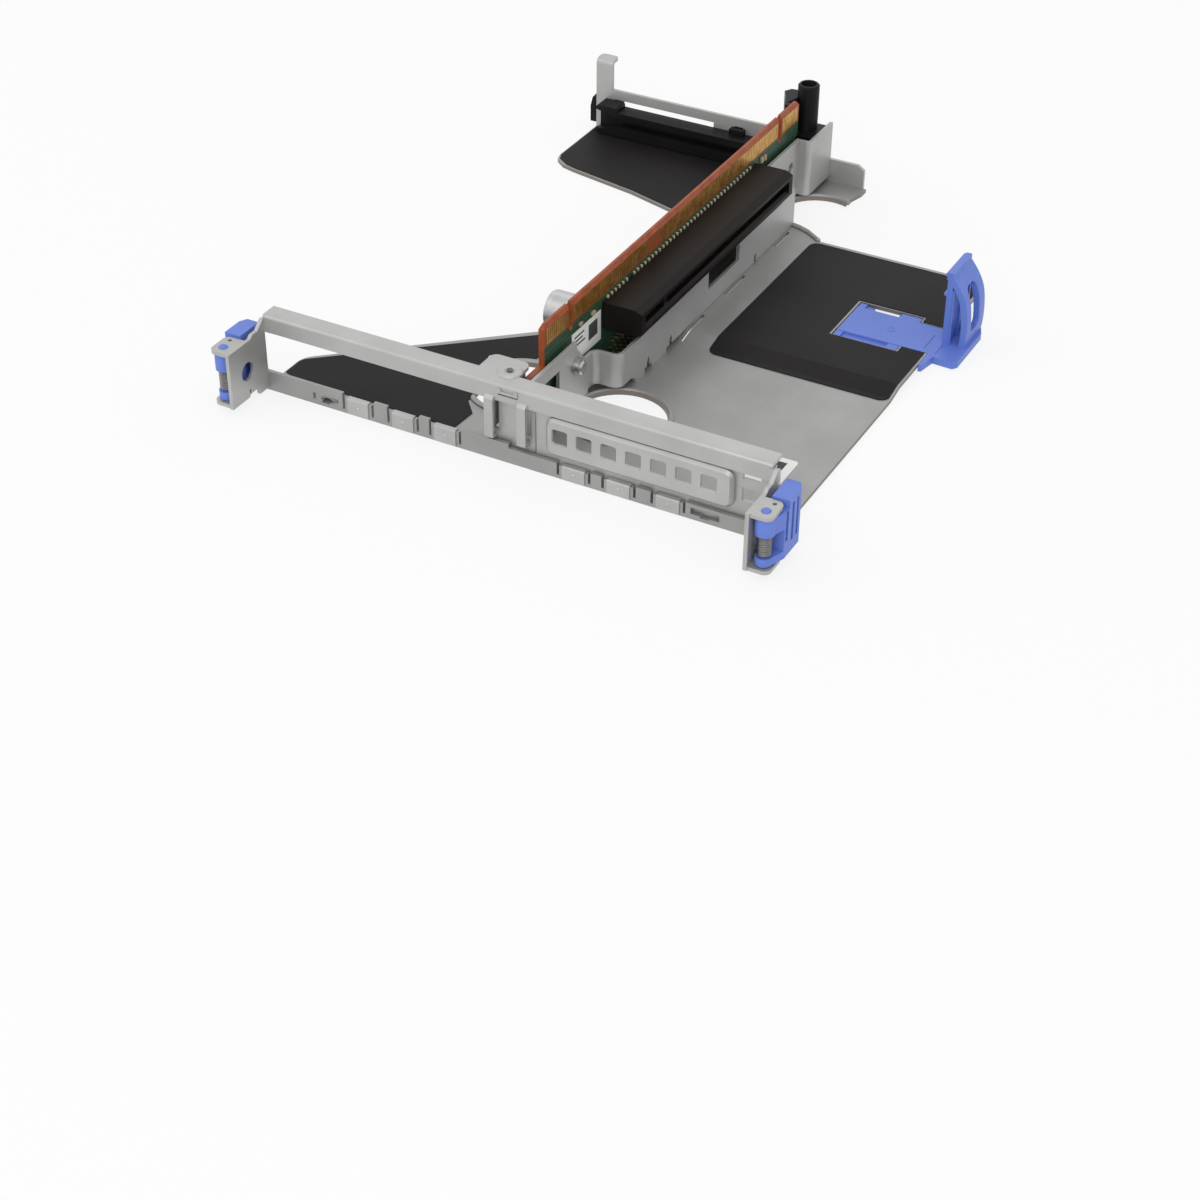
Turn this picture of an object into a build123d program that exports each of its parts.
from build123d import *
import os

os.makedirs("parts", exist_ok=True)

# Frame: X along the slot panel (the blanked slot is on +X), Y from the panel's outer face
# into the machine, Z up. Z = 0 is the top face of the tray sheet, X = 0 the board's mid plane.

# Slot connectors
CON_L = 89.0
CON_H = 11.25           # out from the board
CON_W = 7.5
CON_SLOT = 1.9
CON_SLOT_D = 7.6
CON_KEY = 11.65         # length of the short section, with the key after it
CON_KEY_W = 1.9
CON_END = 2.1
CON_EDGE = 1.5
UP_Y0 = 45.4
UP_Z = 17.35            # card plane of the upper connector
LOW_Y0 = UP_Y0 + 2.2
LOW_Z = 4.95            # card plane of the lower connector
TAIL_PITCH = 1.0
TAIL_N = int((CON_L - 2 * CON_END) / TAIL_PITCH) - 2
TAIL_W = 0.42
TAIL_H = 0.73
TAIL_OUT = 0.5
KEY_TAIL = 11           # first tail after the key
RIB_PITCH = 8.65
RIB_N = int(CON_L / RIB_PITCH)
RIB_W = 0.44
FAR_REACH = 39.6        # from the upper connector's far end to the end bracket

# Sheet metal
T = 1.0                 # sheet thickness of tray, panel and brackets
BEND = 0.9              # outer bend radius of folded edges
SEAT = 0.02             # gap between two pieces that rest on each other
HALF_W = 70.5           # half width of the tray along X
RIGHT_W = HALF_W - 0.6  # edge of the right wing
TRAY_LEN = UP_Y0 + CON_L + FAR_REACH   # tray length along Y
STEP_Z = 1.2            # height of the raised part of the right wing
STEP_Y0 = 70.0          # where the step in the right wing starts
STEP_RUN = 5.5          # length of the sloping part of the step
STEP_X = 8.5            # inner edge of the raised part
SIDE_RUN = 2.2          # width of the slope along that edge
WING_END = TRAY_LEN - 38.0   # far edge of the right wing
SPINE_L = -16.8         # edge of the spine in front of the lower slot
SPINE_R = 18.5          # edge of the spine at its far right end
WING_TIP_Y = 15.8       # where the near left wing leaves its outer edge
WING_TIP_R = 6.0
WING_ROOT_Y = 61.0      # where the near left wing meets the spine
FAR_WING_Y = TRAY_LEN - 41.5   # where the far left wing leaves the spine
FAR_WING_TIP = TRAY_LEN - 26.0   # corner of the far left wing
LIP_Y0 = 65.5           # folded lip in front of the lower slot
LIP_Y1 = FAR_WING_Y - 6.5
LIP_H = 1.1
LIP_W = 1.7

# Finger holes
HOLE_R = 12.0
HOLE_X = 14.2
HOLE_Y = 30.0
FAR_HOLE_R = 11.0
FAR_HOLE_X = 12.7
FAR_HOLE_Y = TRAY_LEN - 21.5
HOLE_FLAT = 22.3        # flat side of the left holes, from the mid plane
RIM_W = 1.5
RIM_H = 0.8
RIM_EDGE = 0.4
PIN_HOLE_R = 1.0
PIN_HOLE_X = -6.0
PIN_HOLE_Y = 8.0

# Edge of the far right recess, from the round part to the corner of the wing, from the hole's middle
RECESS_FROM_HOLE = ((-3.1, -10.6), (-0.3, -11.2), (3.0, -12.5), (7.3, -15.5))
RECESS_EDGE = tuple((FAR_HOLE_X + x, FAR_HOLE_Y + y) for x, y in RECESS_FROM_HOLE)

# Holder window in the right wing
WIN_L = 18.2
WIN_X1 = RIGHT_W - 7.5
WIN_X0 = WIN_X1 - WIN_L
WIN_Y0 = 91.0
WIN_W = 19.2
WIN_Y1 = WIN_Y0 + WIN_W
NECK_Y0 = WIN_Y0 + 2.6
NECK_Y1 = WIN_Y1 - 2.4
FIT = 0.3               # clearance of the holder in its window

# Narrow slots in the tray beside the riser bracket, as their Y ranges
RELIEF_X0 = 10.4
RELIEF_X1 = 11.2
RELIEF_Y = ((STEP_Y0 + 0.4, 83.5), (96.4, 108.0), (WING_END - 8.5, WING_END + 0.8))

# Front wall of the tray
WALL_H = 4.4            # left half, below the open slot
WALL_H_R = 3.2          # right half, below the blank
WALL_X1 = HALF_W - 7.5
CLIP_TOP_L = 3.3        # height under the contact clips, left and right
CLIP_TOP_R = 2.7
CLIP_X = (17.85, 29.95, 43.05)
CLIP_W = 6.9
CLIP_T = 0.3
CLIP_BUMP_R = 0.55
NOTCH_W = 1.6
NOTCH_SLIT = 0.7
SLOT_X = CLIP_X[2] + 9.65   # slotted hole near each end of the wall
SLOT_L = 7.5
SLOT_H = 1.8
SLOT_Z = 0.4
ARCH_R = 1.7
LANCE_Y1 = 4.6          # the arched lance behind the left slotted hole
LANCE_R = 2.6
LANCE_Z = -0.9

# Panel frame
RAIL_Z = 20.4           # top of the upper rail
RAIL_LIP = 4.6          # depth of the rail's front lip
RAIL_D = 5.2            # depth of the rail's top flange
RAIL_X0 = -HALF_W + 0.3
RAIL_X1 = HALF_W - 1.5
TAB_X0 = -10.8          # rivet tab on the rail
TAB_X1 = -0.2
TAB_Y = 12.0
TAB_DROP = 9.0
RIVET_X = -2.9
RIVET_Y = 6.3
RIVET_R = 1.27
RIVET_HEAD = 3.2
STRAP_X = (-4.9, 4.05)
STRAP_W = 2.4
STRAP_OUT = 0.9
COLUMN_W = 6.6          # half width of the centre column
COLUMN_Y = 1.6          # set back of the column's web
COLUMN_Z = 0.3
CLIP_TONGUE = (-2.6, 2.8)   # small bright tongue over the rail's front edge
TONGUE_BAR = 0.9
FLANGE_X = HALF_W + 0.2   # outer face of the side flanges
FLANGE_D = 15.3
FLANGE_Z1 = 16.6
FLANGE_HOLE_R = 2.5
FLANGE_HOLE_Y = -8.2
FLANGE_HOLE_Z = 8.6
EAR_OUT = 5.2
EAR_Y1 = -7.2
EAR_LOW = 1.2           # underside of the lower ear
EAR_HOLE_R = 0.55

# Latches
PIVOT_X = FLANGE_X + 2.7   # hinge axis
PIVOT_Y = -12.2
BOSS_R = 1.15           # pivot bosses in the ears
BOSS_OUT = 0.35         # how far they stand out of the ears
BOSS_CLEAR = 0.06       # running clearance in the ears
SPINDLE_R = 0.95        # inside the spring
HUB_R = 2.1
HUB_R_UP = 2.4
HUB_LOW = 2.1           # length of the lower and upper hub
HUB_UP = 4.6
LATCH_GAP = 0.35        # gap between latch and ears
LATCH_T = 4.2
LATCH_OUT = 0.3         # bulge of the tall part
LATCH_RISE = 1.9
LATCH_Y0 = -6.8         # the tall part stays clear of the ears when it swings
LATCH_Y1 = 1.2
LATCH_X0 = FLANGE_X + 1.6
LATCH_WALL = 1.3
WIRE = 0.32             # wire radius of the torsion springs
SPRING_GAP = 0.2
SPRING_TURNS = 8

# Blank filler
FILL_Y = 1.4            # outer face of the blank's sheet
FILL_T = 0.8
FILL_X0 = 7.0
FILL_X1 = HALF_W - 1.3
FILL_Z0 = 0.3
EMB_X0 = 10.2
EMB_X1 = FILL_X1 - 9.6
EMB_Z0 = 4.9
EMB_Z1 = 15.2
EMB_OUT = 1.7
EMB_R = 2.4
EMB_EDGE = 0.8
VENT = 4.2
VENT_PITCH = 6.55
VENT_X0 = 14.2
VENT_Z = 10.5
VENT_N = int((EMB_X1 - VENT_X0 - VENT / 2) / VENT_PITCH) + 1
VENT_EDGE = 0.4
TAB_T = 0.8
TAB_Z0 = 8.5
TAB_Z1 = 14.6
TAB_END = -5.0

# Circuit board
PCB_T = 1.6
FACE = 0.8              # board faces from the mid plane
PCB_Y0 = 16.4
PCB_Y1 = TRAY_LEN - 12.0
PCB_Z0 = 0.9
PCB_Z1 = 28.7
PCB_CORNER = 1.2
LUG_Y0 = 9.4            # the board's lower part reaches nearer the panel
LUG_Z = 17.6
BEVEL = 1.3
BEVEL_IN = 0.45
NOTCH_NEAR = PCB_Y0 + 13.0
NOTCH_FAR = PCB_Y1 - 12.5
NOTCH_GAP = 1.9
NOTCH_D = 7.6
FINGER_Z0 = 23.0
FINGER_Z1 = 27.3
FINGER_T = 0.06
FINGER_W = 0.72
FINGER_PITCH = 1.0
FINGER_Y = (PCB_Y0 + 1.0, NOTCH_NEAR + 1.6, NOTCH_NEAR + 47.6, NOTCH_FAR + 1.5)
FINGER_N = (11, 39, int((NOTCH_FAR - FINGER_Y[2]) / FINGER_PITCH) - 1, 10)

# Riser bracket
PLATE_X0 = 1.9
PLATE_X = 2.9           # outer face of the plate beside the board
PLATE_Z0 = 1.3
PLATE_TOP = 18.7
PLATE_Y0 = 2.9
PLATE_STEP_Y = 28.8
JOG_Y = 37.9
JOG_Z0 = 2.3
JOG_R = 2.6             # outer radius of the bends beside the connector
LOW_TOP = 11.7
SUPPORT_X = 10.0        # outer face of the long wall
SUPPORT_Y1 = TRAY_LEN - 30.4
SUPPORT_Z0 = 1.3
DIP_Y0 = 87.4
DIP_Y1 = 106.0
DIP_Z = 6.6
RELIEF_CUT_Y = (53.5, 66.0, 116.5)
FAR_PLATE_Y0 = SUPPORT_Y1 - 8.6
POST_WALL_Y = TRAY_LEN - 15.6
POST_WALL_X = 6.6
POST_WALL_R = 1.6
POST_TOP = 18.4
BWIN_Y0 = 9.4
BWIN_Y1 = 20.0
BWIN_Z0 = 6.0
BWIN_Z1 = 15.0
STUD_Y = 28.1
STUD_Z = 12.4
STUD_R = 1.5

# End bracket
END_Y = TRAY_LEN        # inner face
END_X0 = -HALF_W - 0.4
END_X1 = 17.2
END_LOW = 6.8
END_TOP = 12.6
END_STEP_X = 4.7
UPRIGHT_X = END_X0 + 5.5
HOOK_Z = 21.6
HOOK_D = 4.2
HOOK_R = 1.6
EWIN_X0 = UPRIGHT_X + 0.4
EWIN_X1 = -31.4
EWIN_Z0 = 2.0
EWIN_Z1 = 9.7
PEG_X = (-8.6, -23.2)
PEG_Z = (8.6, 2.2)
PEG_WIN = 3.0
EHOLE_X = -17.6
EHOLE_Z = 5.0
SCREW_X = -1.4
SCREW_Z = 6.8
SCREW_R = 1.5
SCREW_HEAD_R = 2.68
SCREW_HEAD_H = 1.36

# Card guide
GUIDE_X0 = -HALF_W + 2.5
GUIDE_X1 = -6.2
GUIDE_Y0 = END_Y - 5.5
GUIDE_Z0 = 0.6
GUIDE_Z1 = 8.2
GUIDE_WEB = END_Y - 2.6   # front of the web between the two rails
GROOVE = 2.4
FLARE_X = GUIDE_X0 + 7.0   # end of the flared entry block
FLARE_Z = 9.5
PEG_NECK = 1.2
PEG_HEAD = 2.7
PEG_DEPTH = 2.2
CAP_END_X = END_X0 - 2.6
CAP_END_D = 4.0

# Guide post
POST_X = 0.0
POST_Y = END_Y - 3.8
POST_R = 3.1
POST_BORE = 2.2
POST_Z1 = 30.3
POST_Z0 = 12.0
POST_BORE_L = 14.0
SHEET_T = 2.2
BRD_SCREW_Y = END_Y - 20.2
BRD_SCREW_Z = 11.6
BRD_SCREW_R = 1.5
BRD_SCREW_L = 5.2

# Capacitor
CAP_Y = 43.6
CAP_Z = 16.6
CAP_R = 5.0
CAP_L = 10.2
CAP_BASE = 10.4
CAP_BASE_H = 1.6
CAP_CUT = 2.2

# Card holder
HOLD_X = RIGHT_W + 1.3   # card side face of its upright
HOLD_WALL = 1.5
HOLD_Y0 = WIN_Y0 + 9.3
HOLD_W = 12.5
HOLD_Y1 = HOLD_Y0 + HOLD_W
HOLD_TOP = 21.8
HOLD_REACH = 7.1        # width of the base outboard of that face
HOLD_BASE = HOLD_X + HOLD_REACH
LOOP_SHAPE = ((0.2, 21.8), (3.0, 18.5), (5.4, 14.0), (6.2, 9.5), (6.3, 4.0), (5.7, -0.6))
LOOP_OUT = tuple((HOLD_X + x, z) for x, z in LOOP_SHAPE)
LOOP_T = 1.6
GRIP_Y0 = HOLD_Y0 + 3.0
GRIP_Y1 = HOLD_Y1 - 3.8
GRIP_Z0 = 4.4
GRIP_Z1 = 17.0
FILM = 0.25             # thickness of the insulating films
LABEL = 0.12


def box(x0, x1, y0, y1, z0, z1):
    return Pos((x0 + x1) / 2, (y0 + y1) / 2, (z0 + z1) / 2) * Box(x1 - x0, y1 - y0, z1 - z0)


def outline(pts):
    """A face from its corner points, leaving out repeated ones."""
    kept = [p for i, p in enumerate(pts) if max(abs(a - b) for a, b in zip(p, pts[i - 1])) > 1e-6]
    return make_face(Polyline(*kept, close=True))


def plate(pts, z0, z1):
    return Pos(0, 0, z0) * extrude(outline([(x, y, 0) for x, y in pts]), z1 - z0, dir=(0, 0, 1))


def wall_yz(pts, x0, x1):
    """A profile drawn in Y and Z, extruded along X."""
    return Pos(x0, 0, 0) * extrude(outline([(0, y, z) for y, z in pts]), x1 - x0, dir=(1, 0, 0))


def wall_xz(pts, y0, y1):
    """A profile drawn in X and Z, extruded along Y."""
    return Pos(0, y0, 0) * extrude(outline([(x, 0, z) for x, z in pts]), y1 - y0, dir=(0, 1, 0))


def turned(pts):
    """A profile of radius and height, turned round the Z axis."""
    return revolve(outline([(r, 0, z) for r, z in pts]), Axis.Z)


def rod(x, y, z0, z1, r):
    return Pos(x, y, (z0 + z1) / 2) * Cylinder(r, z1 - z0)


def rod_x(x0, x1, y, z, r):
    return Pos((x0 + x1) / 2, y, z) * Rot(0, 90, 0) * Cylinder(r, x1 - x0)


def rod_y(x, y0, y1, z, r):
    return Pos(x, (y0 + y1) / 2, z) * Rot(90, 0, 0) * Cylinder(r, y1 - y0)


def side_box(side, xa, xb, y0, y1, z0, z1):
    """A box on the +X side of the board, or mirrored to the -X side."""
    return box(xa, xb, y0, y1, z0, z1) if side > 0 else box(-xb, -xa, y0, y1, z0, z1)


def upright_edges(shape, x, y, tol=0.05):
    """Edges along Z that stand at a point of the plan."""
    return [e for e in shape.edges().filter_by(Axis.Z)
            if abs(e.center().X - x) < tol and abs(e.center().Y - y) < tol]


def rim(x, y, r):
    """The bright raised bead round a finger hole."""
    ring = Pos(x, y, RIM_H / 2) * (Cylinder(r + RIM_W, RIM_H) - Cylinder(r, RIM_H))
    return chamfer(ring.edges().filter_by(GeomType.CIRCLE).group_by(Axis.Z)[-1], RIM_EDGE)


def raised_wing(z0, z1, x0, x1, y1, inset=0.0):
    """The stepped sheet of the right wing between two heights above the tray's top face."""
    y0 = STEP_Y0 - inset
    ya, yb = STEP_Y0, STEP_Y0 + STEP_RUN
    prof = [(y0, z0), (ya, z0), (yb, z0 + STEP_Z), (y1, z0 + STEP_Z),
            (y1, z1 + STEP_Z), (yb, z1 + STEP_Z), (ya, z1), (y0, z1)]
    return wall_yz(prof, x0, x1)


def make_recess_rim():
    """The bead that runs from the far right recess to the corner of the wing."""
    inner = [(x - 0.2, y - RIM_W) for x, y in reversed(RECESS_EDGE)]
    z0, z1 = STEP_Z - T / 2, STEP_Z + RIM_H
    strip = plate(list(RECESS_EDGE) + inner, z0, z1)
    x, y = RECESS_EDGE[-1]
    end = chamfer(rod(x - 0.1, y - RIM_W / 2, z0, z1, RIM_W / 2).edges().group_by(Axis.Z)[-1], RIM_EDGE)
    strip = chamfer(strip.edges().group_by(Axis.Z)[-1], RIM_EDGE) + end
    return strip & box(SUPPORT_X + 0.15, SPINE_R + 10, y - 5, FAR_HOLE_Y, z0, z1)


def make_tray_sheet():
    """The flat and stepped sheet, before its holes."""
    half = HALF_W
    left = plate([(-half, 0), (0, 0), (0, WING_ROOT_Y + 5), (SPINE_L, WING_ROOT_Y + 5),
                  (SPINE_L - 2.4, WING_ROOT_Y), (-half, WING_TIP_Y)],
                 -T, 0)
    left = fillet(upright_edges(left, -half, WING_TIP_Y), WING_TIP_R)
    spine = box(SPINE_L, STEP_X, 0, TRAY_LEN, -T, 0)
    far = plate([(SPINE_L + 1, FAR_WING_Y - 3), (SPINE_L - 0.8, FAR_WING_Y - 1), (SPINE_L - 3.4, FAR_WING_Y + 1),
                 (-40.7, FAR_WING_Y + 7.2), (-half + 8.0, FAR_WING_Y + 11.6), (-half + 4.0, FAR_WING_Y + 12.8),
                 (-half + 0.6, FAR_WING_TIP), (-half, FAR_WING_TIP + 3), (-half, TRAY_LEN), (0, TRAY_LEN)],
                -T, 0)
    far = fillet(upright_edges(far, -half + 0.6, FAR_WING_TIP), 2.5)
    right = box(0, RIGHT_W, 0, STEP_Y0, -T, 0)
    raised = raised_wing(-T, 0, STEP_X, RIGHT_W, WING_END)
    raised = fillet(upright_edges(raised, RIGHT_W, WING_END), 4.0)
    corner = plate([(STEP_X, WING_END - 1), (RECESS_EDGE[-1][0], WING_END - 1)] + list(reversed(RECESS_EDGE))
                   + [(STEP_X, RECESS_EDGE[0][1] + 1.4)], STEP_Z - T, STEP_Z)
    side = wall_xz([(STEP_X - SIDE_RUN, -T), (STEP_X, STEP_Z - T), (STEP_X + 0.4, STEP_Z - T),
                    (STEP_X + 0.4, STEP_Z), (STEP_X, STEP_Z), (STEP_X - SIDE_RUN, 0)],
                   STEP_Y0 + STEP_RUN, WING_END + 7.0)
    foot = box(0, END_X1 - 0.4, FAR_HOLE_Y + 6, TRAY_LEN, -T, 0)
    foot += plate([(10, TRAY_LEN - 10), (END_X1 - 0.4, TRAY_LEN - 9), (END_X1 + 1.1, TRAY_LEN - 3.4),
                   (END_X1 + 1.1, TRAY_LEN), (10, TRAY_LEN)], -T, 0)
    # folded lip in front of the lower slot
    lip = wall_xz([(SPINE_L - 0.1, -T), (SPINE_L + 0.4, 0), (SPINE_L + LIP_W, LIP_H), (SPINE_L - 0.4, LIP_H),
                   (SPINE_L - 1.2, 0)], LIP_Y0, LIP_Y1)
    return left + spine + far + right + raised + corner + side + foot + lip


def make_front_wall():
    """The wall folded up at the tray's near edge, with its slots, notches and one arched lance."""
    wall = box(-HALF_W, 0, 0, T, -T, WALL_H) + box(0, WALL_X1, 0, T, -T, WALL_H_R)
    reach = CLIP_W / 2 + NOTCH_W / 2
    for side, top in ((-1, CLIP_TOP_L), (1, CLIP_TOP_R)):
        for cx in CLIP_X:
            wall -= box(side * cx - reach, side * cx + reach, -1, T + 1, top, WALL_H + 1)
            for end in (-1, 1):
                x = side * cx + end * reach
                wall -= box(x - NOTCH_SLIT / 2, x + NOTCH_SLIT / 2, -1, T + 1, -0.2, WALL_H + 1)
        x = side * SLOT_X
        wall -= box(x - SLOT_L / 2, x + SLOT_L / 2, -1, T + 1, SLOT_Z, SLOT_Z + SLOT_H)
        wall -= rod_y(x, -1, T + 1, -T, ARCH_R)
    lance = rod_y(-SLOT_X, T, LANCE_Y1, LANCE_Z, LANCE_R) - rod_y(-SLOT_X, 0, LANCE_Y1 + 1, LANCE_Z, LANCE_R - 0.7)
    return wall + (lance & box(-SLOT_X - 3, -SLOT_X + 3, T, LANCE_Y1, -0.2, 3))


def make_tray():
    body = make_tray_sheet()
    # finger holes with their beads
    for x, r, y in ((-HOLE_X, HOLE_R, HOLE_Y), (HOLE_X, HOLE_R, HOLE_Y), (-FAR_HOLE_X, FAR_HOLE_R, FAR_HOLE_Y)):
        keep = box(-HOLE_FLAT, 90, y - 30, y + 30, -5, 5)
        body += rim(x, y, r) & keep
        body -= rod(x, y, -5, 5, r) & keep
    # the far right recess is open towards +X
    bead = rim(FAR_HOLE_X, FAR_HOLE_Y, FAR_HOLE_R)
    body += bead & box(FACE + 0.7, SPINE_R - 0.6, FAR_HOLE_Y + 5, FAR_HOLE_Y + 20, 0, 5)
    recess = box(FACE + 0.7, SPINE_R + 20, FAR_HOLE_Y - 20, FAR_HOLE_Y + 20, -5, 5)
    body -= rod(FAR_HOLE_X, FAR_HOLE_Y, -5, 5, FAR_HOLE_R) & recess
    body -= box(SPINE_R - 0.2, 90, WING_END + 3, FAR_HOLE_Y + 9, -5, 5)
    body += make_recess_rim()
    # holder window and its open neck
    body -= box(WIN_X0, WIN_X1, WIN_Y0, WIN_Y1, -3, 5)
    body -= box(WIN_X1 - 1, RIGHT_W + 5, NECK_Y0, NECK_Y1, -3, 5)
    # pin hole and the narrow slots beside the riser bracket
    body -= rod(PIN_HOLE_X, PIN_HOLE_Y, -3, 3, PIN_HOLE_R)
    for y0, y1 in RELIEF_Y:
        body -= box(RELIEF_X0, RELIEF_X1, y0, y1, -3, 5)
    return body + make_front_wall()


def ear(z0, z1, hole):
    """A horizontal ear off the side flange, with the hole for the latch's boss."""
    x1 = FLANGE_X + EAR_OUT
    sheet = box(FLANGE_X - 0.5, x1, -FLANGE_D + 0.3, EAR_Y1, z0, z1)
    sheet = fillet([e for e in sheet.edges().filter_by(Axis.Z) if e.center().X > x1 - 0.1], 1.8)
    sheet -= rod(PIVOT_X, PIVOT_Y, z0 - 1, z1 + 1, BOSS_R + BOSS_CLEAR)
    if hole:
        sheet -= rod(PIVOT_X + 0.5, EAR_Y1 - 1.6, z0 - 1, z1 + 1, EAR_HOLE_R)
    return sheet


def make_flange():
    """The right side flange with both ears and the joggle that joins it to the rail."""
    sheet = wall_yz([(-SEAT, -0.1), (-4.0, -0.1), (-4.0, 1.9), (-7.6, 1.9), (-7.6, 3.4), (EAR_Y1 - 1.0, 3.4),
                     (EAR_Y1 - 1.0, EAR_LOW), (-FLANGE_D, EAR_LOW), (-FLANGE_D, FLANGE_Z1), (-6.2, FLANGE_Z1),
                     (-5.2, 17.4), (-3.0, 17.4), (-0.6, 19.6), (-SEAT, 19.6)], 0, T)
    sheet -= rod_x(-1, T + 1, FLANGE_HOLE_Y, FLANGE_HOLE_Z, FLANGE_HOLE_R)
    sheet = Pos(FLANGE_X - T, 0, 0) * sheet
    joggle = box(FLANGE_X - T - 1.6, FLANGE_X, -0.1, T, RAIL_Z - RAIL_LIP, RAIL_Z - 1.2)
    return sheet + joggle + ear(FLANGE_Z1 - T, FLANGE_Z1, True) + ear(EAR_LOW, EAR_LOW + T, False)


def make_column():
    """The set-back centre column with its cheek, and two straps lanced forward."""
    z0, z1 = RAIL_Z - RAIL_LIP, RAIL_Z
    web = box(-COLUMN_W, COLUMN_W, COLUMN_Y, COLUMN_Y + T, COLUMN_Z, z1 - T)
    cheek = box(-COLUMN_W, -COLUMN_W + T, COLUMN_Y, TAB_Y - 2.6, COLUMN_Z, z1 - T)
    cheek -= box(-COLUMN_W - 1, -COLUMN_W + T + 1, 4.0, TAB_Y, -1, 6.0)
    column = web + cheek
    for x in STRAP_X:
        bar = [(COLUMN_Y + 0.1, WALL_H + 0.4), (-STRAP_OUT, WALL_H + 1.0), (-STRAP_OUT, z0 + 0.2), (0.0, z0 + 1.1),
               (T, z0 + 1.1), (T, z0 - 0.2), (-STRAP_OUT + 0.8, z0 - 0.7), (-STRAP_OUT + 0.8, WALL_H + 1.7),
               (COLUMN_Y + 0.1, WALL_H + 1.5)]
        column += wall_yz(bar, x - STRAP_W / 2, x + STRAP_W / 2)
        column -= box(x - STRAP_W / 2 - 0.3, x + STRAP_W / 2 + 0.3, COLUMN_Y - 0.1, COLUMN_Y + T + 1,
                      WALL_H + 2.2, z0 - 0.8)
    return column


def make_frame():
    z0, z1 = RAIL_Z - RAIL_LIP, RAIL_Z
    rail = wall_yz([(0, z0), (T, z0), (T, z1 - T), (RAIL_D, z1 - T), (RAIL_D, z1), (0, z1)], RAIL_X0, RAIL_X1)
    rail = fillet([e for e in rail.edges().filter_by(Axis.X)
                   if abs(e.center().Y) < 0.01 and e.center().Z > z1 - 0.01], BEND)
    # rivet tab with its hanging flange
    tab = box(TAB_X0, TAB_X1, RAIL_D - 1, TAB_Y, z1 - T, z1)
    tab = fillet([e for e in tab.edges().filter_by(Axis.Z) if e.center().Y > TAB_Y - 0.1], 2.0)
    drop = box(TAB_X0 - 0.6, TAB_X1 - 1.4, TAB_Y - 1.6, TAB_Y - 1.6 + T, z1 - TAB_DROP, z1 - T / 2)
    drop = fillet([e for e in drop.edges().filter_by(Axis.Y) if e.center().Z < z1 - TAB_DROP + 0.1], 2.2)
    frame = rail + tab + drop + make_column()
    # small tongue cut round on three sides at the rail's front edge
    xa, xb = CLIP_TONGUE
    frame -= box(xa, xb, -1, T + 0.5, z0 + 1.7, z0 + 2.3)
    for x in (xa, xb - TONGUE_BAR):
        frame += box(x, x + TONGUE_BAR, -0.35, 0.2, z0 + 2.9, z1 - BEND)
    frame += box(xa, xb, -0.35, 0.2, z0 + 2.3, z0 + 3.0)
    side = make_flange()
    frame += side + mirror(side, about=Plane.YZ)
    return frame - rod(RIVET_X, RIVET_Y, z1 - 3, z1 + 1, RIVET_R + 0.03)


def make_latch():
    """The right latch; the left one is its mirror image."""
    z0 = EAR_LOW + T + LATCH_GAP
    z1 = FLANGE_Z1 - T - LATCH_GAP
    x0, x1 = LATCH_X0, LATCH_X0 + LATCH_T
    xo = x1 + LATCH_OUT
    y0, y1 = LATCH_Y0, LATCH_Y1
    body = plate([(x0, y0), (x0, y1), (x1 - 0.8, y1), (xo, y1 - 2.0), (xo, y0)], z0, z1 + LATCH_RISE)
    body = fillet([e for e in body.edges().filter_by(Axis.Z)
                   if e.center().X > x1 - 1.0 and e.center().Y > y1 - 0.1], 0.6)
    # hollow moulding, open towards the flange, with two long slots in its outer wall
    body -= box(x0 - 1, x1 - LATCH_WALL, y0 + 1.2, y1 - 1.3, z0 + 1.4, z1 - 0.6)
    body -= box(x1 - 0.9, x1 - 0.1, y1 - 3.0, y1 + 1, z0 + 2.0, z1 - 0.6)
    body -= box(x1 - 1.0, xo + 1, -5.4, -4.2, z0 + 3.0, z1 + 0.6)
    body -= box(x1 - 1.0, xo + 1, -2.9, -1.9, z0 + 3.0, z1 + 0.6)
    arm = plate([(PIVOT_X - HUB_R, PIVOT_Y), (PIVOT_X + HUB_R, PIVOT_Y), (xo, PIVOT_Y + 3.6), (xo, y0 + 0.5),
                 (x0, y0 + 0.5), (x0, PIVOT_Y + 3.4)], z0, z1)
    arm += rod(PIVOT_X, PIVOT_Y, z0, z0 + HUB_LOW, HUB_R)
    arm += rod(PIVOT_X, PIVOT_Y, z1 - HUB_UP, z1, HUB_R_UP)
    arm -= box(x0 - 5, x1 + 5, PIVOT_Y - 5, PIVOT_Y + 3.3, z0 + HUB_LOW, z1 - HUB_UP)
    arm -= box(x0 + 2.0, x1 + 2, -8.4, -7.2, z1 - 8.4, z1 - 0.2)
    # the spindle inside the spring ends in a boss in each ear
    spindle = rod(PIVOT_X, PIVOT_Y, z0, z1, SPINDLE_R)
    bosses = rod(PIVOT_X, PIVOT_Y, EAR_LOW - BOSS_OUT, z0 + 0.5, BOSS_R)
    bosses += rod(PIVOT_X, PIVOT_Y, z1 - 0.5, FLANGE_Z1 + BOSS_OUT, BOSS_R)
    tips = bosses.edges().filter_by(GeomType.CIRCLE).group_by(Axis.Z)
    bosses = chamfer(tips[0] + tips[-1], 0.25)
    return body + arm + spindle + bosses


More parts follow.
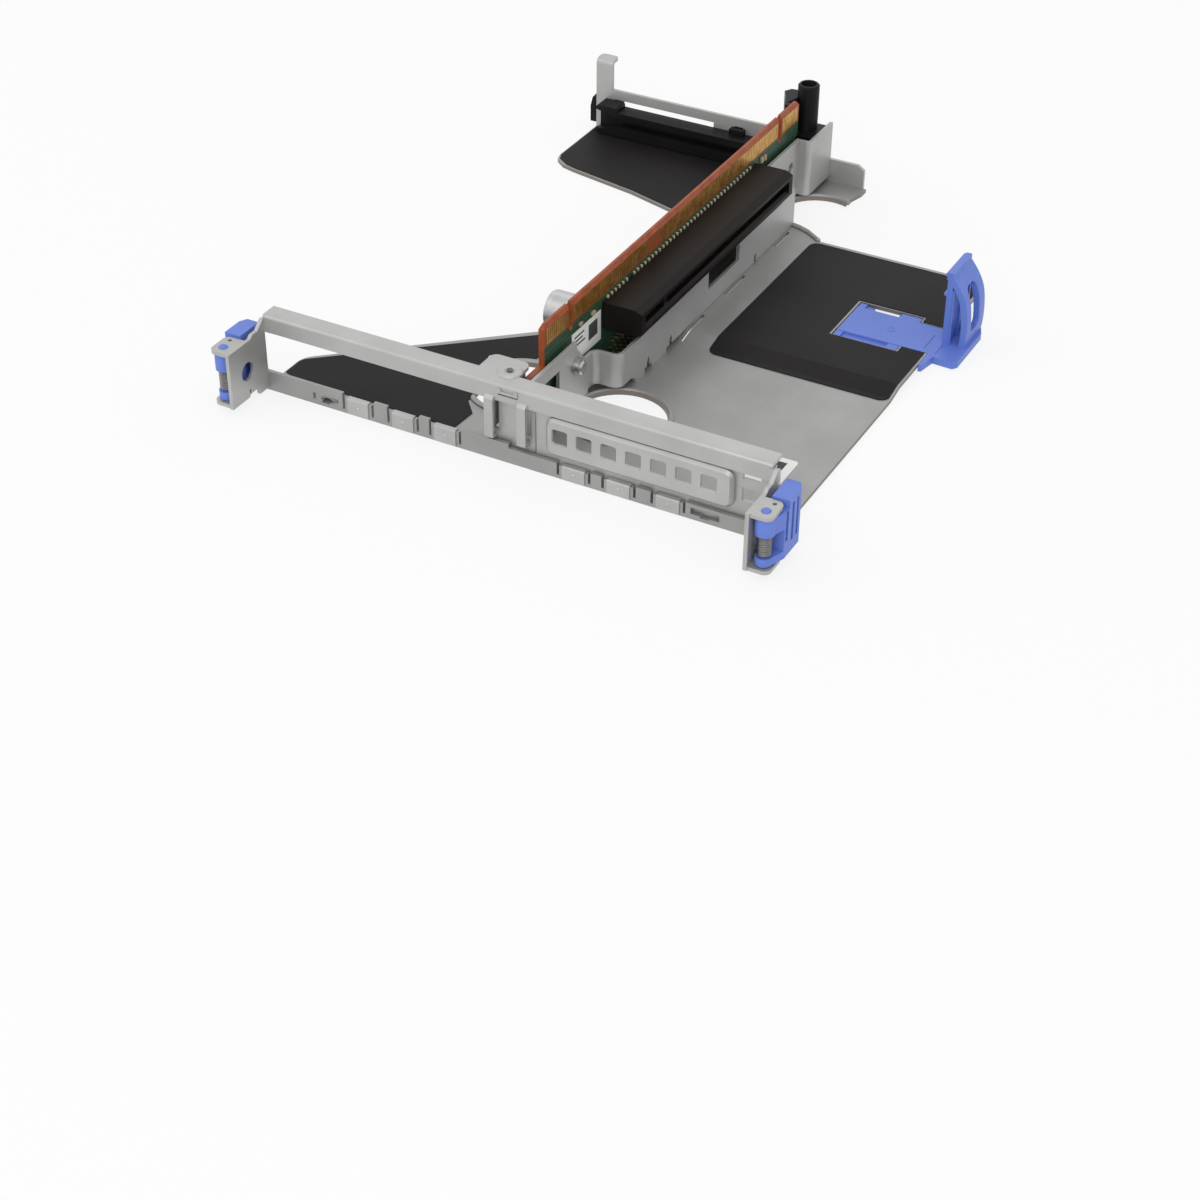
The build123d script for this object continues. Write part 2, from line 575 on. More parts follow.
def make_spring():
    """Torsion spring: close turns round the spindle, one leg on the flange and one towards the latch."""
    r0 = SPINDLE_R + SPRING_GAP
    r1 = r0 + WIRE * 2
    pitch = WIRE * 2
    z0 = EAR_LOW + T + LATCH_GAP + HUB_LOW + 0.5
    prof = [(r0, z0)]
    for i in range(SPRING_TURNS):
        z = z0 + i * pitch
        prof += [(r1 - 0.22, z), (r1, z + pitch * 0.3), (r1, z + pitch * 0.7)]
    prof += [(r1 - 0.22, z0 + SPRING_TURNS * pitch), (r0, z0 + SPRING_TURNS * pitch)]
    coil = Pos(PIVOT_X, PIVOT_Y, 0) * turned(prof)
    mid = (r0 + r1) / 2
    low = z0 + WIRE
    high = z0 + SPRING_TURNS * pitch - WIRE
    coil += box(PIVOT_X - 2.66, PIVOT_X, PIVOT_Y + mid - 0.28, PIVOT_Y + mid + 0.28, low - 0.28, low + 0.28)
    coil += box(PIVOT_X - mid - 0.28, PIVOT_X - mid + 0.28, PIVOT_Y, PIVOT_Y + 2.6, high - 0.28, high + 0.28)
    return coil


def make_filler():
    y0, y1 = FILL_Y, FILL_Y + FILL_T
    sheet = box(FILL_X0, FILL_X1, y0, y1, FILL_Z0, RAIL_Z - T - 0.2)
    pan = box(EMB_X0, EMB_X1, y0 - EMB_OUT, y0, EMB_Z0, EMB_Z1)
    pan = fillet(pan.edges().filter_by(Axis.Y), EMB_R)
    pan = chamfer(pan.faces().sort_by(Axis.Y)[0].edges(), EMB_EDGE)
    hollow = box(EMB_X0 + FILL_T, EMB_X1 - FILL_T, y0 - EMB_OUT + FILL_T, y1 + 1, EMB_Z0 + FILL_T, EMB_Z1 - FILL_T)
    hollow = fillet(hollow.edges().filter_by(Axis.Y), EMB_R - FILL_T)
    fill = sheet + pan - hollow
    for i in range(VENT_N):
        x = VENT_X0 + i * VENT_PITCH
        hole = box(x - VENT / 2, x + VENT / 2, y0 - 5, y1 + 5, VENT_Z - VENT / 2, VENT_Z + VENT / 2)
        fill -= chamfer(hole.edges().filter_by(Axis.Y), VENT_EDGE)
    fill -= box(FILL_X1 - 7.9, FILL_X1 - 3.3, y0 - 1, y1 + 1, 13.3, 15.7)
    fill -= box(FILL_X1 - 8.0, FILL_X1 - 3.6, y0 - 1, y1 + 1, 7.4, 11.0)
    # the end tab turns outwards, past the end of the rail and over the side flange
    xt = FLANGE_X + 0.15
    fill += box(FILL_X1 - 0.5, xt + TAB_T, y0, y1, TAB_Z0, TAB_Z1)
    tab = box(xt, xt + TAB_T, TAB_END, y1, TAB_Z0, TAB_Z1)
    return fill + fillet([e for e in tab.edges().filter_by(Axis.X) if e.center().Y < TAB_END + 0.1], 1.6)


def make_clips():
    """Contact clips that straddle the front wall, three on each side of the column."""
    out = []
    yo, yi = -SEAT - CLIP_T, T + SEAT + CLIP_T
    for side, top in ((-1, CLIP_TOP_L + SEAT), (1, CLIP_TOP_R + SEAT)):
        for cx in CLIP_X:
            prof = [(yo, -0.7), (-SEAT, -0.7), (-SEAT, top), (T + SEAT, top), (T + SEAT, 0.8), (yi, 0.8),
                    (yi, top - 0.1), (yi - 0.22, top + CLIP_T), (yo + 0.22, top + CLIP_T), (yo, top - 0.1)]
            clip = wall_yz(prof, side * cx - CLIP_W / 2 + 0.4, side * cx + CLIP_W / 2 - 0.4)
            bump = Pos(side * cx, yo - 0.1, top * 0.42) * Rot(90, 0, 0) * Cone(CLIP_BUMP_R, CLIP_BUMP_R * 0.4, 0.4)
            out.append(clip + bump)
    return Compound(children=out)


def make_board():
    c = PCB_CORNER
    pcb = wall_yz([(LUG_Y0, PCB_Z0), (PCB_Y1 - 1.6, PCB_Z0), (PCB_Y1 - 1.6, LUG_Z), (PCB_Y1, LUG_Z + c),
                   (PCB_Y1, PCB_Z1 - c), (PCB_Y1 - c, PCB_Z1), (PCB_Y0 + c, PCB_Z1), (PCB_Y0, PCB_Z1 - c),
                   (PCB_Y0, LUG_Z), (LUG_Y0, LUG_Z)], -FACE, FACE)
    for side in (-1, 1):
        pcb -= wall_xz([(side * FACE, PCB_Z1 - BEVEL), (side * (FACE - BEVEL_IN), PCB_Z1 + SEAT),
                        (side * (FACE + 1), PCB_Z1 + SEAT), (side * (FACE + 1), PCB_Z1 - BEVEL)], 0, PCB_Y1 + 10)
    for y in (NOTCH_NEAR, NOTCH_FAR):
        slot = box(-2, 2, y - NOTCH_GAP / 2, y + NOTCH_GAP / 2, PCB_Z1 - NOTCH_D, PCB_Z1 + 1)
        low = [e for e in slot.edges().filter_by(Axis.X) if e.center().Z < PCB_Z1 - NOTCH_D + 0.1]
        pcb -= fillet(low, NOTCH_GAP * 0.45)
    pcb -= rod_x(-3, 3, STUD_Y, STUD_Z, STUD_R + 0.15)
    pcb -= rod_x(-3, 3, BRD_SCREW_Y, BRD_SCREW_Z, BRD_SCREW_R + 0.1)
    return pcb


def make_fingers():
    out = []
    for side in (-1, 1):
        for y, n in zip(FINGER_Y, FINGER_N):
            for i in range(n):
                yc = y + (i + 0.5) * FINGER_PITCH
                out.append(side_box(side, FACE, FACE + FINGER_T, yc - FINGER_W / 2, yc + FINGER_W / 2,
                                    FINGER_Z0, FINGER_Z1))
    return Compound(children=out)


def make_connector(side, y0, zc):
    """One slot connector housing, on the board's +X or -X side."""
    a, b = FACE, FACE + CON_H
    h = CON_W / 2
    prof = [(a, zc - h), (b - CON_EDGE, zc - h), (b, zc - h + 0.9), (b, zc + h - 0.9),
            (b - CON_EDGE - 0.6, zc + h), (a, zc + h)]
    body = wall_xz([(side * x, z) for x, z in prof], y0, y0 + CON_L)
    ya, yb = y0 + CON_END, y0 + CON_L - CON_END
    # the card slot, in two lengths with the key between them
    key0 = ya + CON_KEY
    half = CON_SLOT / 2
    for u, v in ((ya, key0), (key0 + CON_KEY_W, yb)):
        body -= side_box(side, b - CON_SLOT_D, b + 1, u, v, zc - half, zc + half)
        body -= side_box(side, b - CON_SLOT_D + 1, b - 0.8, u, v, zc - half - 0.9, zc + half + 0.9)
    # lead-in along both sides of the slot
    lead = [(b - 0.9, zc - half), (b + 0.1, zc - half - 0.9), (b + 0.1, zc + half + 0.9), (b - 0.9, zc + half)]
    body -= wall_xz([(side * x, z) for x, z in lead], ya, yb)
    if side < 0:
        for i in range(RIB_N):
            y = y0 + 4.2 + i * RIB_PITCH
            body -= side_box(side, b - 4.6, b - 1.2, y - RIB_W / 2, y + RIB_W / 2, zc + h - 0.6, zc + h + 1)
    return body


def make_contacts(side, y0, zc):
    """The tails of the contacts, soldered to the board beside the housing."""
    out = []
    z = zc + CON_W / 2 + SEAT
    for i in range(TAIL_N):
        y = y0 + CON_END + 0.6 + (i + (2 if i >= KEY_TAIL else 0)) * TAIL_PITCH
        out.append(side_box(side, FACE, FACE + TAIL_OUT, y - TAIL_W / 2, y + TAIL_W / 2, z, z + TAIL_H))
    return Compound(children=out)


def make_bend(x, y, r, sheet):
    """Round one bend of a folded sheet: outer radius at the outer corner, r less T inside."""
    return fillet(upright_edges(sheet, x, y), r)


def make_support():
    """The long wall beside the upper connector with its bends at both ends."""
    x0, sx0, sx1 = PLATE_X0, SUPPORT_X - T, SUPPORT_X
    yj = JOG_Y
    near_bend = box(x0, PLATE_X, yj - 4.0, yj + T, JOG_Z0, LOW_TOP) + box(x0, sx1, yj, yj + T, JOG_Z0, LOW_TOP)
    near_bend += box(sx0, sx1, yj, yj + 7.0, JOG_Z0, LOW_TOP)
    for x, y, r in ((PLATE_X, yj, JOG_R - T), (x0, yj + T, JOG_R), (sx1, yj, JOG_R), (sx0, yj + T, JOG_R - T)):
        near_bend = make_bend(x, y, r, near_bend)
    support = wall_yz([(44.0, JOG_Z0), (46.0, SUPPORT_Z0), (SUPPORT_Y1 - 5, SUPPORT_Z0), (SUPPORT_Y1 - 5, LOW_TOP),
                       (DIP_Y1, LOW_TOP), (DIP_Y1, DIP_Z), (DIP_Y0, DIP_Z), (DIP_Y0, LOW_TOP), (44.0, LOW_TOP)],
                      sx0, sx1)
    for y in RELIEF_CUT_Y:
        support -= wall_yz([(y - 0.9, 0), (y + 0.9, 0), (y + 0.5, 3.4), (y - 0.1, 3.9), (y - 0.7, 3.0)],
                           sx0 - 1, sx1 + 1)
    feet = box(sx0, sx1, 46.5, 51.5, SEAT, SUPPORT_Z0 + 0.5) + box(sx0, sx1, 55.5, 63.5, SEAT, SUPPORT_Z0 + 0.5)
    back = box(x0, sx1, SUPPORT_Y1 - T, SUPPORT_Y1, SUPPORT_Z0, LOW_TOP)
    back += box(sx0, sx1, SUPPORT_Y1 - 5.5, SUPPORT_Y1, SUPPORT_Z0, LOW_TOP)
    back = make_bend(sx1, SUPPORT_Y1, JOG_R, back)
    back = make_bend(sx0, SUPPORT_Y1 - T, JOG_R - T, back)
    return near_bend + support + feet + back


def make_bracket():
    x0, x1 = PLATE_X0, PLATE_X
    near_plate = wall_yz([(PLATE_Y0, 13.5), (8.3, 13.5), (8.3, PLATE_Z0), (JOG_Y - 3.5, PLATE_Z0),
                          (JOG_Y - 3.5, LOW_TOP), (PLATE_STEP_Y + 4.4, LOW_TOP), (PLATE_STEP_Y, PLATE_TOP - 2.0),
                          (PLATE_STEP_Y, PLATE_TOP), (PLATE_Y0 + 2.6, PLATE_TOP), (PLATE_Y0 + 2.6, 16.6),
                          (PLATE_Y0, 16.6)], x0, x1)
    near_plate -= box(x0 - 1, x1 + 1, BWIN_Y0, BWIN_Y1, BWIN_Z0, BWIN_Z1)
    far_plate = wall_yz([(FAR_PLATE_Y0, PLATE_Z0), (POST_WALL_Y + T, PLATE_Z0), (POST_WALL_Y + T, POST_TOP),
                         (FAR_PLATE_Y0 + 4.4, POST_TOP), (FAR_PLATE_Y0, POST_TOP - 3.5)], x0, x1)
    wrap = box(x0, POST_WALL_X, POST_WALL_Y, POST_WALL_Y + T, PLATE_Z0 + 0.4, POST_TOP)
    wrap += box(POST_WALL_X - T, POST_WALL_X, POST_WALL_Y, END_Y - SEAT, PLATE_Z0 + 0.4, POST_TOP)
    wrap = make_bend(POST_WALL_X, POST_WALL_Y, POST_WALL_R, wrap)
    wrap = make_bend(POST_WALL_X - T, POST_WALL_Y + T, POST_WALL_R - T, wrap)
    bracket = near_plate + make_support() + far_plate + wrap
    bracket -= rod_x(x0 - 1, x1 + 1, STUD_Y, STUD_Z, STUD_R + 0.05)
    return bracket - rod_x(x0 - 1, x1 + 1, BRD_SCREW_Y, BRD_SCREW_Z, BRD_SCREW_R + 0.1)


def make_end_bracket():
    y0, y1 = END_Y, END_Y + T
    strip = wall_xz([(END_X0, -T), (END_X1, -T), (END_X1, END_LOW - 1.4), (END_X1 - 2.0, END_LOW),
                     (END_STEP_X, END_LOW), (END_STEP_X, END_TOP), (UPRIGHT_X, END_TOP), (UPRIGHT_X, HOOK_Z),
                     (END_X0, HOOK_Z)], y0, y1)
    # the top of the upright is folded away from the tray
    hook = box(END_X0, UPRIGHT_X, y0, y0 + HOOK_D, HOOK_Z - T, HOOK_Z)
    hook = fillet([e for e in hook.edges().filter_by(Axis.Z) if e.center().Y > y0 + 1], 1.2)
    strip += hook
    strip = fillet([e for e in strip.edges().filter_by(Axis.X)
                    if abs(e.center().Y - y0) < 0.01 and e.center().Z > HOOK_Z - 0.05], HOOK_R)
    strip = fillet([e for e in strip.edges().filter_by(Axis.X)
                    if abs(e.center().Y - y1) < 0.01 and abs(e.center().Z - HOOK_Z + T) < 0.05], HOOK_R - T)
    strip -= box(EWIN_X0, EWIN_X1, y0 - 1, y1 + 1, EWIN_Z0, EWIN_Z1)
    for x in PEG_X:
        for z in PEG_Z:
            strip -= box(x - PEG_WIN / 2, x + PEG_WIN / 2, y0 - 1, y1 + 1, z - PEG_WIN / 2, z + PEG_WIN / 2)
    strip -= box(EHOLE_X - 1.7, EHOLE_X + 1.7, y0 - 1, y1 + 1, EHOLE_Z - 1.6, EHOLE_Z + 1.6)
    strip -= rod_y(SCREW_X, y0 - 1, y1 + 1, SCREW_Z, SCREW_R + 0.05)
    return strip - Pos(SCREW_X, y1 - 0.7, SCREW_Z) * Rot(-90, 0, 0) * Cone(SCREW_R + 0.05, 2.75, 1.4)


def make_guide():
    """Plastic card guide in front of the end bracket, held by four hooked pegs."""
    y1 = END_Y - SEAT
    ye = END_Y + T
    zc = LOW_Z
    body = box(GUIDE_X0, GUIDE_X1, GUIDE_Y0, y1, GUIDE_Z0, GUIDE_Z1)
    body += box(GUIDE_X0, FLARE_X, GUIDE_Y0, y1, GUIDE_Z0, FLARE_Z)
    body = fillet([e for e in body.edges().filter_by(Axis.Y) if e.center().Z > FLARE_Z - 0.1], 0.8)
    body -= box(GUIDE_X0 - 1, GUIDE_X1 + 1, GUIDE_Y0 - 1, GUIDE_WEB, zc - GROOVE / 2, zc + GROOVE / 2)
    # flared entry at the outer end of the groove
    body -= wall_xz([(GUIDE_X0 - 1, zc - GROOVE / 2 - 2.2), (GUIDE_X0 + 8, zc - GROOVE / 2),
                     (GUIDE_X0 + 8, zc + GROOVE / 2), (GUIDE_X0 - 1, zc + GROOVE / 2 + 2.2)],
                    GUIDE_Y0 - 1, GUIDE_WEB)
    body -= box(EHOLE_X - 2.4, EHOLE_X + 2.4, GUIDE_WEB + 1, y1 + 1, zc - 2.4, zc + 2.4)
    for x in PEG_X:
        body += box(x - 2.2, x + 2.2, y1 - 2.0, y1, GUIDE_Z1 - 1, PEG_Z[0] + 1.2)
        for z in PEG_Z:
            body += box(x - PEG_NECK, x + PEG_NECK, y1 - 0.5, ye + 0.6, z - 0.5, z + 0.6)
            head = box(x - PEG_WIN / 2 - 2.6, x + PEG_NECK, ye + 0.05, ye + PEG_DEPTH,
                       z - PEG_HEAD / 2, z + PEG_HEAD / 2)
            body += chamfer(head.edges().filter_by(Axis.Y), 0.35)
    # rounded end cap outside the upright, joined through the end of the long window
    xa = CAP_END_X
    xb = EWIN_X0 + 1.6
    cap = wall_xz([(xa, 0.4), (xb, 0.4), (xb, 8.2), (EWIN_X0 - 1.5, 10.6), (xa + 2.4, 10.2),
                   (xa + 0.7, 8.2), (xa, 5.4)], ye + 0.05, ye + CAP_END_D - 0.4)
    cap = chamfer(cap.faces().sort_by(Axis.Y)[-1].edges(), 0.6)
    link = box(EWIN_X0 + 0.3, xb, y1 - 0.5, ye + 0.6, 2.6, 8.0)
    return body + cap + link


def make_post():
    """Hollow alignment post with its base, its wing and the plate screwed to the board."""
    wall_x = POST_WALL_X - T
    tube = rod(POST_X, POST_Y, POST_Z0, POST_Z1, POST_R)
    tube = chamfer(tube.edges().filter_by(GeomType.CIRCLE).group_by(Axis.Z)[-1], 0.4)
    base = box(-3.4, wall_x - 0.15, POST_WALL_Y + T + 4.2, END_Y - SEAT, POST_Z0 - 1.5, 17.0)
    base = fillet(base.edges().filter_by(Axis.Z), 0.8)
    lower = box(-3.2, wall_x - 0.9, POST_WALL_Y + T + 5.2, END_Y - SEAT, 0.9, POST_Z0)
    wing = plate([(-7.2, POST_Y - 0.6), (-6.0, POST_Y + 1.6), (-2.0, POST_Y + 2.2), (-2.0, POST_Y - 3.0),
                  (-3.4, POST_Y - 7.4), (-0.95, POST_Y - 7.4), (-0.95, POST_Y - 9.0), (-3.2, POST_Y - 9.0),
                  (-5.4, POST_Y - 3.4)], 11.0, 26.8)
    xa = -FACE - 0.05
    ya = BRD_SCREW_Y - 6.2
    sheet = wall_yz([(ya, 1.8), (ya + 17.4, 1.8), (ya + 17.4, 24.0), (ya + 14.0, 20.6), (ya + 4.2, 19.6),
                     (ya, 15.4)], xa - SHEET_T, xa)
    sheet = chamfer([e for e in sheet.edges().filter_by(Axis.X)
                     if abs(e.center().Y - ya) < 0.1 or abs(e.center().Y - ya - 4.2) < 0.1], 0.8)
    post = tube + base + lower + wing + sheet
    post -= rod(POST_X, POST_Y, POST_Z1 - POST_BORE_L, POST_Z1 + 1, POST_BORE)
    post -= rod_x(-6, 0, BRD_SCREW_Y, BRD_SCREW_Z, BRD_SCREW_R + 0.06)
    post -= rod_y(SCREW_X, END_Y - 7.5, END_Y + 1, SCREW_Z, SCREW_R + 0.06)
    return post - rod_y(SCREW_X, END_Y - 0.5, END_Y + 1, SCREW_Z, 1.95)


def drive(depth, r):
    """A six-lobed drive recess about Z, cut downwards from Z = 0."""
    hexagon = RegularPolygon(r, 6, major_radius=True)
    cut = extrude(hexagon, depth) + extrude(Rot(0, 0, 30) * RegularPolygon(r * 0.8, 6, major_radius=True), depth)
    return Pos(0, 0, -depth) * cut


def make_board_screw():
    """Pan head screw through the post's plate and the board; drawn about Z, then turned."""
    screw = turned([(0, -BRD_SCREW_L), (BRD_SCREW_R - 0.4, -BRD_SCREW_L), (BRD_SCREW_R, -BRD_SCREW_L + 0.4),
                    (BRD_SCREW_R, 0), (2.9, 0), (2.9, 0.3), (2.5, 0.3), (2.5, 1.0), (2.2, 1.5), (1.7, 1.8), (0, 1.8)])
    screw -= Pos(0, 0, 1.81) * drive(1.1, 1.2)
    return Pos(-FACE - 0.05 - SHEET_T - SEAT, BRD_SCREW_Y, BRD_SCREW_Z) * Rot(0, -90, 0) * screw


def make_end_screw():
    screw = turned([(0, -7.2), (SCREW_R - 0.4, -7.2), (SCREW_R, -6.8), (SCREW_R, -SCREW_HEAD_H), (SCREW_HEAD_R, 0),
                    (0, 0)])
    screw -= Pos(0, 0, 0.01) * drive(0.9, 1.2)
    return Pos(SCREW_X, END_Y + T + SEAT, SCREW_Z) * Rot(-90, 0, 0) * screw


def make_stud():
    """T-shaped stud that hooks the board on the riser bracket's plate."""
    top = PLATE_X - FACE
    stud = turned([(0, -PCB_T - 0.5), (STUD_R, -PCB_T - 0.5), (STUD_R, top + SEAT), (2.3, top + SEAT),
                   (2.3, top + 1.0), (1.9, top + 1.0), (1.9, top + 2.0), (1.5, top + 2.4), (0, top + 2.4)])
    return Pos(FACE, STUD_Y, STUD_Z) * Rot(0, 90, 0) * stud


def make_rivet():
    low = -T - SEAT
    rivet = turned([(0, low - 0.6), (2.1, low - 0.6), (2.1, low), (RIVET_R, low), (RIVET_R, SEAT), (RIVET_HEAD, SEAT),
                    (RIVET_HEAD - 0.3, 0.35), (2.2, 0.5), (1.5, 0.45), (0.9, 0.15), (0, 0.1)])
    return Pos(RIVET_X, RIVET_Y, RAIL_Z) * rivet


def make_cap_can():
    """The can, turned with its groove at the base and its ring on the end."""
    r = CAP_R
    can = turned([(0, 0), (r, 0), (r, 1.4), (r - 0.35, 1.7), (r - 0.35, 2.1), (r, 2.4), (r, CAP_L - 0.7),
                  (r - 0.25, CAP_L - 0.2), (r - 0.7, CAP_L), (r - 1.0, CAP_L), (r - 1.1, CAP_L - 0.2),
                  (r - 1.4, CAP_L - 0.2), (r - 1.5, CAP_L), (0, CAP_L)])
    return Pos(-FACE - SEAT - CAP_BASE_H - SEAT, CAP_Y, CAP_Z) * Rot(0, -90, 0) * can


def make_cap_base():
    a = -FACE - SEAT
    h = CAP_BASE / 2
    k = h - CAP_CUT
    return wall_yz([(CAP_Y - h, CAP_Z - h), (CAP_Y + k, CAP_Z - h), (CAP_Y + h, CAP_Z - k),
                    (CAP_Y + h, CAP_Z + k), (CAP_Y + k, CAP_Z + h), (CAP_Y - h, CAP_Z + h)], a - CAP_BASE_H, a)


def make_small_parts():
    """Small chip components soldered on both faces of the board."""
    far = PCB_Y1
    left = ((20.0, 19.6, 1.6, .8), (20.2, 15.4, 1.6, .8), (24.6, 18.2, .8, 1.6), (24.4, 12.8, 2.0, 1.2),
            (13.2, 12.8, 1.2, 2.0), (13.0, 7.6, 1.6, .8), (20.6, 7.4, 3.2, 1.6), (30.6, 8.2, 2.0, 1.2),
            (34.6, 21.0, 1.6, .8), (52.4, 21.2, 1.0, .5), (far - 20.0, 20.8, 1.6, .8),
            (far - 20.8, 15.6, .8, 1.6), (far - 22.0, 10.2, 1.6, .8), (far - 17.4, 12.6, .8, 1.6),
            (far - 15.2, 18.4, 1.6, .8), (far - 13.4, 20.9, 1.0, .5))
    right = ((40.4, 20.6, 1.6, .8), (34.2, 20.7, 1.6, .8), (far - 24.4, 20.8, 1.0, 1.6),
             (far - 22.4, 20.6, .8, 1.6))
    height = 0.6
    out = []
    for side, spots in ((-1, left), (1, right)):
        for y, z, w, h in spots:
            out.append(side_box(side, FACE + SEAT, FACE + SEAT + height, y - w / 2, y + w / 2, z - h / 2, z + h / 2))
    return Compound(children=out)


def make_loop():
    """The bowed finger loop beside the holder's upright, with its long window."""
    inner = [(x - LOOP_T * (0.35 if i == 0 else 1.0), z - LOOP_T * (1.2 if i == 0 else 0.25))
             for i, (x, z) in enumerate(LOOP_OUT)]
    outer_edge = Spline(*[(x, 0, z) for x, z in LOOP_OUT])
    inner_edge = Spline(*[(x, 0, z) for x, z in reversed(inner)])
    ends = [Line(outer_edge @ 1, inner_edge @ 0), Line(inner_edge @ 1, outer_edge @ 0)]
    face = make_face(Curve() + [outer_edge, ends[0], inner_edge, ends[1]])
    loop = Pos(0, HOLD_Y0, 0) * extrude(face, HOLD_Y1 - HOLD_Y0, dir=(0, 1, 0))
    grip = box(HOLD_X + HOLD_WALL + 0.8, HOLD_BASE + 3, GRIP_Y0, GRIP_Y1, GRIP_Z0, GRIP_Z1)
    return loop - fillet(grip.edges().filter_by(Axis.X), 1.8)


def make_holder():
    """Snap-in card holder: flat spring plate, upright with card ridges and a curved finger loop."""
    z1 = STEP_Z
    z0 = STEP_Z - T
    g = FIT
    main = box(WIN_X0 + g, HOLD_X + 0.3, NECK_Y0 + g, NECK_Y1 - g, z0, z1)
    lugs = box(WIN_X0 + g, WIN_X1 - g, WIN_Y0 + g, WIN_Y1 - g, z0 - 0.9, z0 + 0.3)
    lugs -= box(WIN_X0 + 4.4, WIN_X0 + 11.6, NECK_Y1 - g + 0.01, WIN_Y1, -5, 5)
    lugs += box(WIN_X0 + g, WIN_X0 + 2.2, WIN_Y0 + g, WIN_Y1 - g, z0, z1 - 0.15)
    lugs += box(WIN_X1 - 6.0, WIN_X1 - g, NECK_Y1 - 1, WIN_Y1 - g, z0, z1 - 0.15)
    lugs += box(WIN_X1 - 3.4, WIN_X1 - g, WIN_Y0 + g, NECK_Y0 + 1, z0, z1 - 0.15)
    # base under and beyond the wing's edge, with a gusset along that edge
    xa = RIGHT_W + 0.1
    base = plate([(xa, WIN_Y0 - 3.7), (xa + 0.8, WIN_Y0 - 3.4), (HOLD_X + 0.6, NECK_Y0 - 0.8),
                  (HOLD_BASE - 1.0, NECK_Y0 - 1.1), (HOLD_BASE, NECK_Y0 + 0.2), (HOLD_BASE, HOLD_Y1 - 2.5), (HOLD_BASE - 1.2, HOLD_Y1 + 0.4),
                  (xa, HOLD_Y1 + 0.4)], z0 - 1.0, z1)
    upright = box(HOLD_X, HOLD_X + HOLD_WALL, HOLD_Y0, HOLD_Y1, z0, HOLD_TOP)
    # two ridges that hold the edge of the card between them
    for z in (UP_Z - 1.8, HOLD_TOP - 0.75):
        upright += wall_xz([(HOLD_X + 0.2, z - 0.75), (HOLD_X - 0.7, z - 0.3), (HOLD_X - 0.7, z + 0.3),
                            (HOLD_X + 0.2, z + 0.75)], HOLD_Y0, HOLD_Y1)
    for y in (HOLD_Y0 + 0.2, (HOLD_Y0 + HOLD_Y1) / 2 - 0.4, HOLD_Y1 - 1.0):
        upright += box(HOLD_X + HOLD_WALL - 0.1, HOLD_X + HOLD_WALL + 0.6, y, y + 0.8, z0, HOLD_TOP - 5.0)
    return main + lugs + base + upright + make_loop()


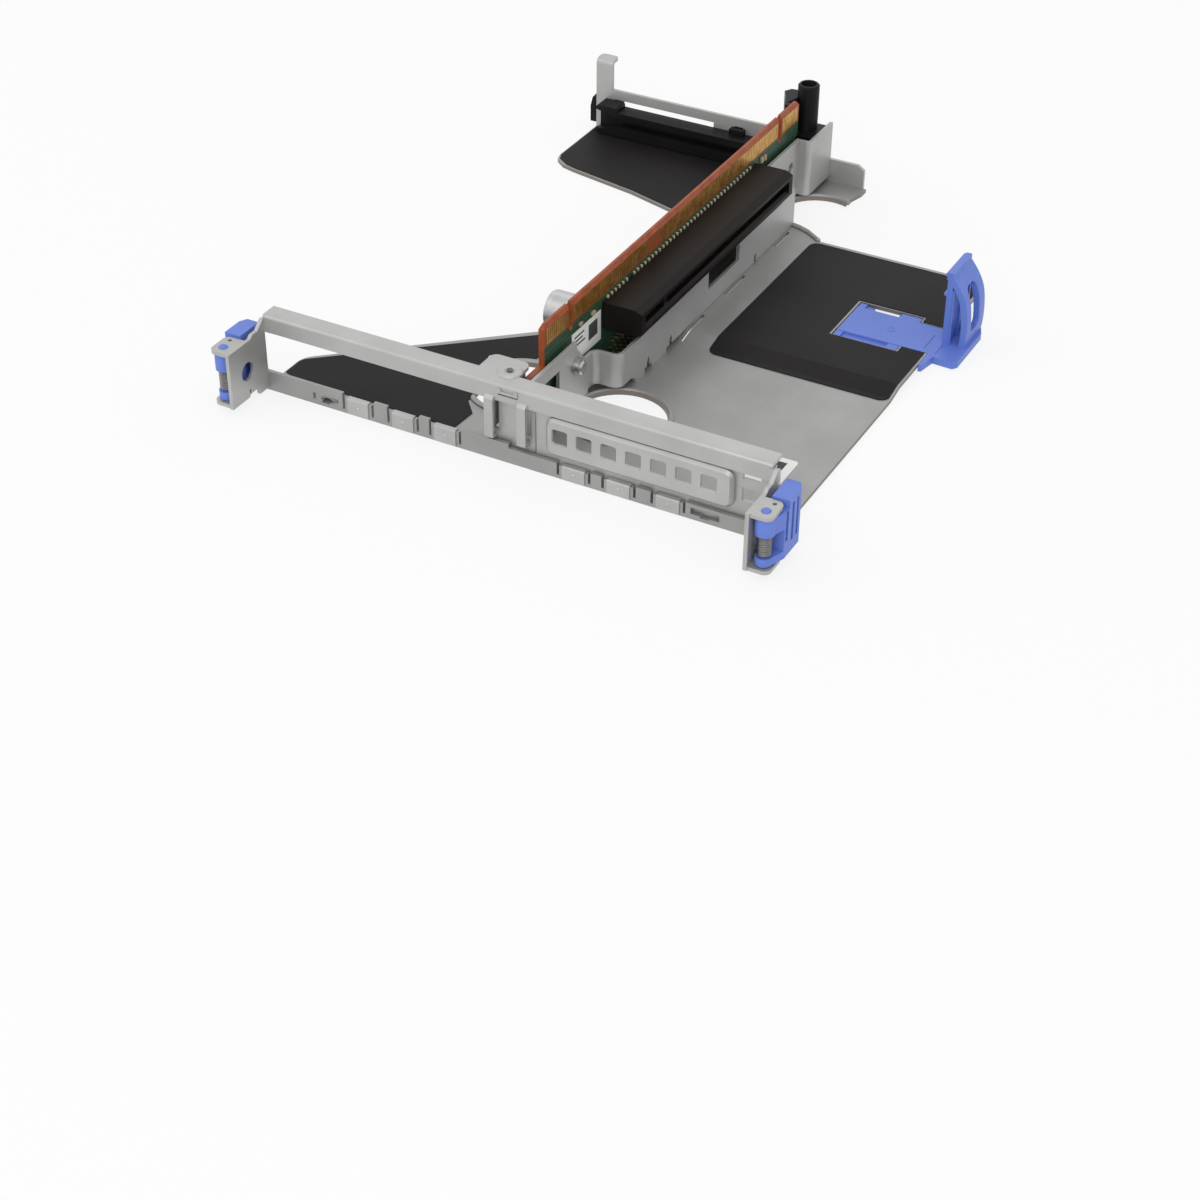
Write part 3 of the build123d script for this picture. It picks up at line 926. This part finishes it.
def make_films():
    """Insulating films on the tray: near left, far left and right."""
    h = HALF_W
    left = plate([(-h + 0.5, 7.6), (-h + 4.6, 6.1), (-18.9, 5.6), (-18.4, 13.7), (-HOLE_FLAT - 0.1, 18.2),
                  (-HOLE_FLAT - 0.1, HOLE_Y + 7.9), (-17.4, HOLE_Y + 12.7), (-18.8, WING_ROOT_Y - 2.5),
                  (-h + 2.9, WING_TIP_Y + 0.8), (-h + 1.1, WING_TIP_Y - 0.8),
                  (-h + 0.5, WING_TIP_Y - 2.2)], SEAT, FILM)
    left -= rod(-HOLE_X, HOLE_Y, -1, 1, HOLE_R + RIM_W + 0.2) & box(-HOLE_FLAT - 0.05, 0, 0, 60, -1, 1)
    y = FAR_WING_Y
    far = plate([(-18.2, y + 1.1), (-21.8, y + 13.5), (-22.5, y + 16.5), (-22.5, TRAY_LEN - 1),
                 (-h + 0.5, TRAY_LEN - 1), (-h + 0.5, y + 18.1), (-h + 1.3, y + 15.9), (-h + 4.7, y + 13.4),
                 (-h + 8.2, y + 12.3), (-40.5, y + 7.8), (-20.4, y + 1.7)], SEAT, FILM)
    far -= (rod(-FAR_HOLE_X, FAR_HOLE_Y, -1, 1, FAR_HOLE_R + RIM_W + 0.2)
            & box(-HOLE_FLAT - 0.05, 0, y, TRAY_LEN, -1, 1))
    right = raised_wing(SEAT, FILM, SPINE_R + 0.6, RIGHT_W - 0.6, WING_END - 1.5, inset=1.7)
    right = fillet([e for e in right.edges().filter_by(Axis.Z) if e.length < FILM], 2.6)
    right -= box(WIN_X0 - 0.6, WIN_X1 + 0.5, WIN_Y0 - 0.5, WIN_Y1 + 0.5, -1, 5)
    right -= box(WIN_X1 - 1, RIGHT_W + 5, NECK_Y0 - 0.3, NECK_Y1 + 0.3, -1, 5)
    return left, far, right


def make_labels():
    """Blank labels on the tray and on both faces of the board."""
    tray = box(RIGHT_W - 33.3, RIGHT_W - 8.0, 20.6, 32.6, SEAT, SEAT + LABEL)
    tray = fillet(tray.edges().filter_by(Axis.Z), 1.0)
    board = side_box(-1, FACE + SEAT, FACE + SEAT + LABEL, 95.4, 120.8, 9.9, 14.0)
    small = side_box(1, FACE + SEAT, FACE + SEAT + LABEL, 29.8, 44.6, 11.0, 19.4)
    return tray, board, small


parts = {}
parts["tray"] = make_tray()
parts["slot_frame"] = make_frame()
parts["slot_blank"] = make_filler()
parts["contact_clips"] = make_clips()
parts["riser_bracket"] = make_bracket()
parts["end_bracket"] = make_end_bracket()
parts["card_guide"] = make_guide()
parts["guide_post"] = make_post()
parts["circuit_board"] = make_board()
parts["edge_contacts"] = make_fingers()
parts["upper_connector"] = make_connector(1, UP_Y0, UP_Z)
parts["lower_connector"] = make_connector(-1, LOW_Y0, LOW_Z)
parts["upper_contacts"] = make_contacts(1, UP_Y0, UP_Z)
parts["lower_contacts"] = make_contacts(-1, LOW_Y0, LOW_Z)
parts["capacitor_can"] = make_cap_can()
parts["capacitor_base"] = make_cap_base()
parts["chip_components"] = make_small_parts()
parts["board_screw"] = make_board_screw()
parts["end_screw"] = make_end_screw()
parts["board_stud"] = make_stud()
parts["frame_rivet"] = make_rivet()
latch = make_latch()
parts["right_latch"] = latch
parts["left_latch"] = mirror(latch, about=Plane.YZ)
spring = make_spring()
parts["right_latch_spring"] = spring
parts["left_latch_spring"] = mirror(spring, about=Plane.YZ)
parts["card_holder"] = make_holder()
film_near, film_far, film_right = make_films()
parts["near_left_film"] = film_near
parts["far_left_film"] = film_far
parts["right_film"] = film_right
label_tray, label_board, label_small = make_labels()
parts["tray_label"] = label_tray
parts["board_label"] = label_board
parts["port_label"] = label_small

for name, shape in parts.items():
    export_step(shape, "parts/" + name + ".step")
